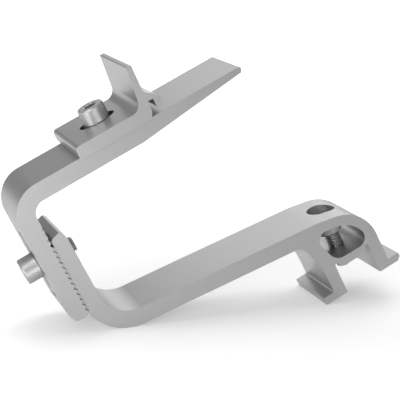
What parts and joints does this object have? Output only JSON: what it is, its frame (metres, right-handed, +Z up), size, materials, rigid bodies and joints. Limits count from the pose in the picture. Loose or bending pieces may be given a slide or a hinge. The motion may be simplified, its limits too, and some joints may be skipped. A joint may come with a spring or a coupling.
{
  "type": "adjustable rail bracket",
  "caption": "Height-adjustable roof hook that joins a base rail to a crossing rail, with a toothed riser, a slotted rail clamp and a foot with a screw chamber.",
  "frame": {"origin": "on the foot screw's axis, in the plane of the two soles, at mid-width", "axes": "+X from the toothed riser towards the foot, +Y across the extrusions, +Z up from the soles along the foot screw"},
  "size_m": [0.1687, 0.045, 0.1593],
  "materials": {
    "aluminium": "mill finish of extruded aluminium, sawn ends",
    "steel": "plain stainless socket head cap screws"
  },
  "bodies": {
    "lower": {"lower_hook": "aluminium"},
    "upper": {"upper_hook": "aluminium"},
    "clamp": {"rail_clamp": "aluminium"},
    "height_screw": {"height_screw": "steel"},
    "clamp_screw": {"clamp_screw": "steel"},
    "foot_screw": {"foot_screw": "steel"}
  },
  "joints": [
    {"name": "height_adjust", "type": "slide", "parent": "lower", "child": "upper", "axis": [0, 0, 1], "range_m": [-0.009, 0.009]},
    {"name": "clamp_slide", "type": "slide", "parent": "upper", "child": "clamp", "axis": [1, 0, 0], "range_m": [-0.005, 0.005]},
    {"name": "foot_screw_drive", "type": "slide", "parent": "lower", "child": "foot_screw", "axis": [0, 0, 1], "range_m": [-0.0074, 0]},
    {"name": "clamp_screw_turn", "type": "hinge", "parent": "upper", "child": "clamp_screw", "pos_m": [-0.08065, 0, 0.1382], "axis": [0, 0, 1], "continuous": true},
    {"name": "height_screw_turn", "type": "hinge", "parent": "lower", "child": "height_screw", "pos_m": [-0.1379, 0, 0.091], "axis": [-1, 0, 0], "continuous": true}
  ]
}
